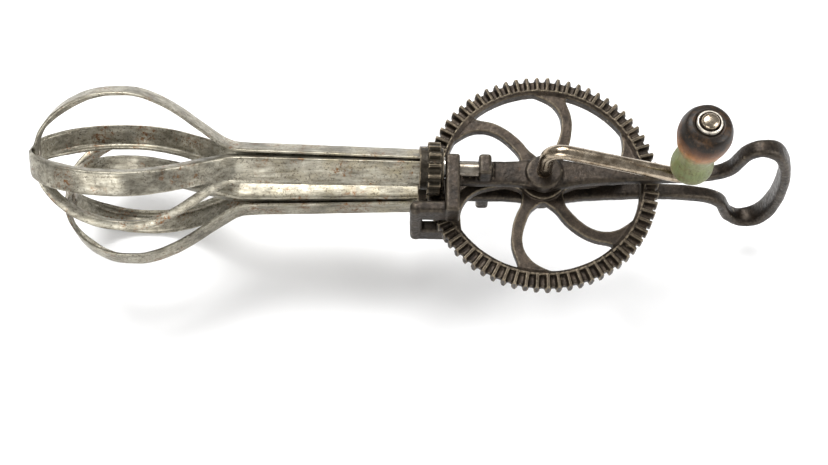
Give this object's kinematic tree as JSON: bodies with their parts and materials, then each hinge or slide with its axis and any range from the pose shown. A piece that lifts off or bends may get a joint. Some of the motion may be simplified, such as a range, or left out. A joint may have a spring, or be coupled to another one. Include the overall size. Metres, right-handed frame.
{
  "type": "hand-cranked egg beater",
  "caption": "Hand-cranked rotary egg beater: cast-iron frame and gear wheel, bent-rod crank with a wooden knob, and a pair of geared wire-loop dashers.",
  "frame": {"origin": "centre of the underside of the tool's box as it lies with the crank side up", "axes": "+X along the tool from the dashers to the handle loop, +Y across the wheel, +Z along the wheel's axle towards the crank side"},
  "size_m": [0.2637, 0.082, 0.1026],
  "materials": {
    "cast_frame": "dark worn cast iron, edges rubbed lighter",
    "cast_wheel": "dark worn cast iron, brighter at the teeth",
    "cast_pinion": "dark oiled cast iron",
    "tinned_steel": "aged tinned steel, pitted, with small rust spots",
    "rod_nickel": "worn nickel on steel wire rod",
    "pin_steel": "dull steel",
    "washer_steel": "dull pressed steel",
    "knob_wood": "worn green paint over brown wood, dark at the top"
  },
  "bodies": {
    "frame": {"frame_casting": "cast_frame"},
    "drive": {"gear_wheel": "cast_wheel", "wheel_drive_pin": "pin_steel", "crank_rod": "rod_nickel", "axle_end_washer": "washer_steel", "knob_base_washer": "washer_steel", "knob_top_washer": "washer_steel"},
    "knob": {"crank_knob": "knob_wood"},
    "front_dasher": {"front_pinion": "cast_pinion", "front_shaft": "pin_steel", "front_outer_loop": "tinned_steel", "front_inner_loop": "tinned_steel", "front_nose_rivet": "pin_steel", "front_shaft_washer": "washer_steel"},
    "back_dasher": {"back_pinion": "cast_pinion", "back_shaft": "pin_steel", "back_outer_loop": "tinned_steel", "back_inner_loop": "tinned_steel", "back_nose_rivet": "pin_steel", "back_shaft_washer": "washer_steel"}
  },
  "joints": [
    {"name": "wheel_spin", "type": "hinge", "parent": "frame", "child": "drive", "pos_m": [0.0452, 0, 0.04022], "axis": [0, 0, 1], "continuous": true},
    {"name": "knob_spin", "type": "hinge", "parent": "drive", "child": "knob", "pos_m": [0.09156, -0.00776, 0.08522], "axis": [0, 0, 1], "continuous": true},
    {"name": "front_dasher_spin", "type": "hinge", "parent": "frame", "child": "front_dasher", "pos_m": [0.0072, 0, 0.05057], "axis": [0.999, 0, -0.0436], "continuous": true},
    {"name": "back_dasher_spin", "type": "hinge", "parent": "frame", "child": "back_dasher", "pos_m": [0.0072, 0, 0.02987], "axis": [0.999, 0, 0.0436], "continuous": true}
  ],
  "couplings": [
    {"joint": "front_dasher_spin", "follows": "wheel_spin", "ratio": -4.7143},
    {"joint": "back_dasher_spin", "follows": "wheel_spin", "ratio": 4.7143}
  ]
}
